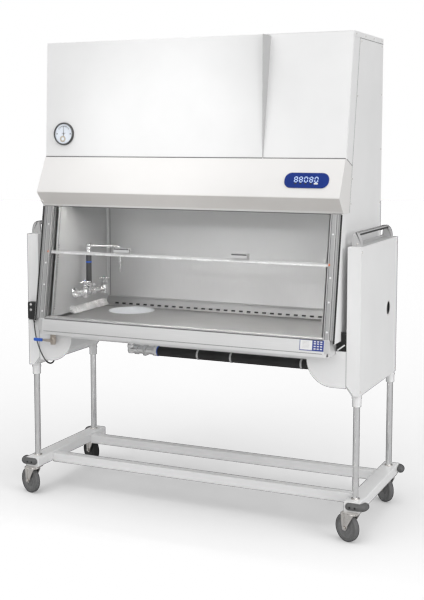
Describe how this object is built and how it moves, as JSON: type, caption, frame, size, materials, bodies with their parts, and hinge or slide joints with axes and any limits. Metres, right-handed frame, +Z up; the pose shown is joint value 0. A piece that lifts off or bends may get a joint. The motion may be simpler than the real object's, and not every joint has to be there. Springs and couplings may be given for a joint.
{
  "type": "biological safety cabinet on a lifting caster stand",
  "caption": "Sloped-front biological safety cabinet with steel work chamber, sliding glass sash, sink and faucet, on a motor-lifted caster stand with side housings and hand control.",
  "frame": {"origin": "on the floor, under the middle of the whole object's box with the stand raised and the casters trailing left", "axes": "+Z up, +X to the operator's right along the cabinet's width, -Y towards the operator who faces the sash"},
  "size_m": [2.0066, 0.8248, 2.471],
  "materials": {
    "painted_white": "fine-texture powder coat, satin",
    "painted_console": "smooth powder coat, warm white",
    "stainless": "number four brushed grain, seams polished",
    "polished_liner": "fine brushed liner, softly reflective",
    "chrome_tube": "bright chrome plate",
    "zinc_fork": "bright zinc plate",
    "caster_tread": "grey non-marking tread with fine ridges",
    "grey_plastic": "grained grey plastic",
    "black_plastic": "fine-grained black plastic",
    "black_rubber": "smooth black jacket",
    "display_blue": "royal blue overlay film",
    "pale_key": "pale moulded button",
    "dark_key": "dark membrane key",
    "gauge_case": "die-cast case, dark grey",
    "brass_valve": "nickel-washed brass",
    "blue_sleeve": "dipped blue vinyl",
    "filter_media": "pleated glass-fibre media in a frame",
    "fan_steel": "galvanised sheet",
    "sash_glass": "clear laminated safety glass"
  },
  "bodies": {
    "base": {"foot_left": "painted_white", "foot_right": "painted_white", "front_cross_beam": "painted_white", "rear_cross_beam": "painted_white", "leg_front_left": "chrome_tube", "leg_rear_left": "chrome_tube", "leg_front_right": "chrome_tube", "leg_rear_right": "chrome_tube"},
    "caster_front_left": {"caster_fork_front_left": "zinc_fork"},
    "wheel_front_left": {"caster_wheel_front_left": "caster_tread"},
    "caster_rear_left": {"caster_fork_rear_left": "zinc_fork"},
    "wheel_rear_left": {"caster_wheel_rear_left": "caster_tread"},
    "caster_front_right": {"caster_fork_front_right": "zinc_fork"},
    "wheel_front_right": {"caster_wheel_front_right": "caster_tread"},
    "caster_rear_right": {"caster_fork_rear_right": "zinc_fork"},
    "wheel_rear_right": {"caster_wheel_rear_right": "caster_tread"},
    "cabinet": {"side_housing_left": "painted_white", "side_housing_right": "painted_white", "push_handle_left": "grey_plastic", "push_handle_right": "grey_plastic", "front_apron": "painted_white", "rear_cross_member": "painted_white", "pendant_body": "black_plastic", "pendant_cord": "black_rubber", "side_panel_left": "painted_white", "side_panel_right": "painted_white", "rear_top_cover": "painted_white", "upper_front_panel": "painted_white", "filter_access_panel": "painted_white", "control_console": "painted_console", "display_panel": "display_blue", "pressure_gauge": "gauge_case", "sash_track_left": "stainless", "sash_track_right": "stainless", "chamber_wall_left": "polished_liner", "chamber_wall_right": "polished_liner", "chamber_rear_wall": "polished_liner", "work_surface": "stainless", "sink_bowl": "stainless", "drain_line": "chrome_tube", "drain_pan": "stainless", "faucet_body": "chrome_tube", "drain_valve": "brass_valve", "supply_filter": "filter_media", "exhaust_filter": "filter_media", "blower_housing": "fan_steel"},
    "sash": {"sash_glass": "sash_glass", "sash_grip_rail": "stainless"},
    "spout": {"faucet_spout": "chrome_tube"},
    "hot_handle": {"faucet_handle_hot": "chrome_tube"},
    "cold_handle": {"faucet_handle_cold": "chrome_tube"},
    "valve_lever": {"drain_valve_lever": "blue_sleeve"},
    "needle": {"gauge_needle": "black_plastic"},
    "up_button": {"pendant_up_button": "pale_key"},
    "down_button": {"pendant_down_button": "pale_key"},
    "impeller": {"blower_impeller": "fan_steel"},
    "key_1": {"display_key_1": "dark_key"},
    "key_2": {"display_key_2": "dark_key"},
    "key_3": {"display_key_3": "dark_key"},
    "key_4": {"display_key_4": "dark_key"}
  },
  "joints": [
    {"name": "stand_lift", "type": "slide", "parent": "base", "child": "cabinet", "axis": [0, 0, 1], "range_m": [-0.28, 0.05]},
    {"name": "swivel_front_left", "type": "hinge", "parent": "base", "child": "caster_front_left", "pos_m": [-0.90167, -0.317, 0.15], "axis": [0, 0, 1], "continuous": true},
    {"name": "roll_front_left", "type": "hinge", "parent": "caster_front_left", "child": "wheel_front_left", "pos_m": [-0.93505, -0.30351, 0.07], "axis": [0.3746, 0.9272, 0], "continuous": true},
    {"name": "swivel_rear_left", "type": "hinge", "parent": "base", "child": "caster_rear_left", "pos_m": [-0.90167, 0.333, 0.15], "axis": [0, 0, 1], "continuous": true},
    {"name": "roll_rear_left", "type": "hinge", "parent": "caster_rear_left", "child": "wheel_rear_left", "pos_m": [-0.93346, 0.3499, 0.07], "axis": [0.4695, 0.8829, 0], "continuous": true},
    {"name": "swivel_front_right", "type": "hinge", "parent": "base", "child": "caster_front_right", "pos_m": [0.92633, -0.317, 0.15], "axis": [0, 0, 1], "continuous": true},
    {"name": "roll_front_right", "type": "hinge", "parent": "caster_front_right", "child": "wheel_front_right", "pos_m": [0.89454, -0.3001, 0.07], "axis": [0.4695, 0.8829, 0], "continuous": true},
    {"name": "swivel_rear_right", "type": "hinge", "parent": "base", "child": "caster_rear_right", "pos_m": [0.92633, 0.333, 0.15], "axis": [0, 0, 1], "continuous": true},
    {"name": "roll_rear_right", "type": "hinge", "parent": "caster_rear_right", "child": "wheel_rear_right", "pos_m": [0.89957, 0.35709, 0.07], "axis": [0.6691, 0.7431, 0], "continuous": true},
    {"name": "sash_slide", "type": "slide", "parent": "cabinet", "child": "sash", "axis": [0, 0.165, 0.9863], "range_m": [-0.335, 0.2]},
    {"name": "spout_swing", "type": "hinge", "parent": "cabinet", "child": "spout", "pos_m": [-0.67767, -0.083, 1.345], "axis": [0, 0, 1], "range_deg": [-110, 50]},
    {"name": "hot_turn", "type": "hinge", "parent": "cabinet", "child": "hot_handle", "pos_m": [-0.67767, 0.081, 1.16], "axis": [0, 0, 1], "range_deg": [0, 90]},
    {"name": "cold_turn", "type": "hinge", "parent": "cabinet", "child": "cold_handle", "pos_m": [-0.67767, -0.127, 1.16], "axis": [0, 0, 1], "range_deg": [-90, 0]},
    {"name": "valve_turn", "type": "hinge", "parent": "cabinet", "child": "valve_lever", "pos_m": [-0.74967, -0.37, 0.878], "axis": [0, -1, 0], "range_deg": [0, 90]},
    {"name": "needle_turn", "type": "hinge", "parent": "cabinet", "child": "needle", "pos_m": [-0.71467, -0.25795, 1.98], "axis": [0, -0.9988, 0.0496], "range_deg": [-45, 45], "stiffness_Nm_per_rad": 0.002},
    {"name": "key_press_1", "type": "slide", "parent": "cabinet", "child": "key_1", "axis": [0, 0.8959, -0.4443], "range_m": [0, 0.0007], "stiffness_N_per_m": 300},
    {"name": "key_press_2", "type": "slide", "parent": "cabinet", "child": "key_2", "axis": [0, 0.8959, -0.4443], "range_m": [0, 0.0007], "stiffness_N_per_m": 300},
    {"name": "key_press_3", "type": "slide", "parent": "cabinet", "child": "key_3", "axis": [0, 0.8959, -0.4443], "range_m": [0, 0.0007], "stiffness_N_per_m": 300},
    {"name": "key_press_4", "type": "slide", "parent": "cabinet", "child": "key_4", "axis": [0, 0.8959, -0.4443], "range_m": [0, 0.0007], "stiffness_N_per_m": 300},
    {"name": "up_press", "type": "slide", "parent": "cabinet", "child": "up_button", "axis": [0, 1, 0], "range_m": [0, 0.0015], "stiffness_N_per_m": 300},
    {"name": "down_press", "type": "slide", "parent": "cabinet", "child": "down_button", "axis": [0, 1, 0], "range_m": [0, 0.0015], "stiffness_N_per_m": 300},
    {"name": "impeller_spin", "type": "hinge", "parent": "cabinet", "child": "impeller", "pos_m": [0.01233, 0.07, 2.02], "axis": [1, 0, 0], "continuous": true}
  ]
}
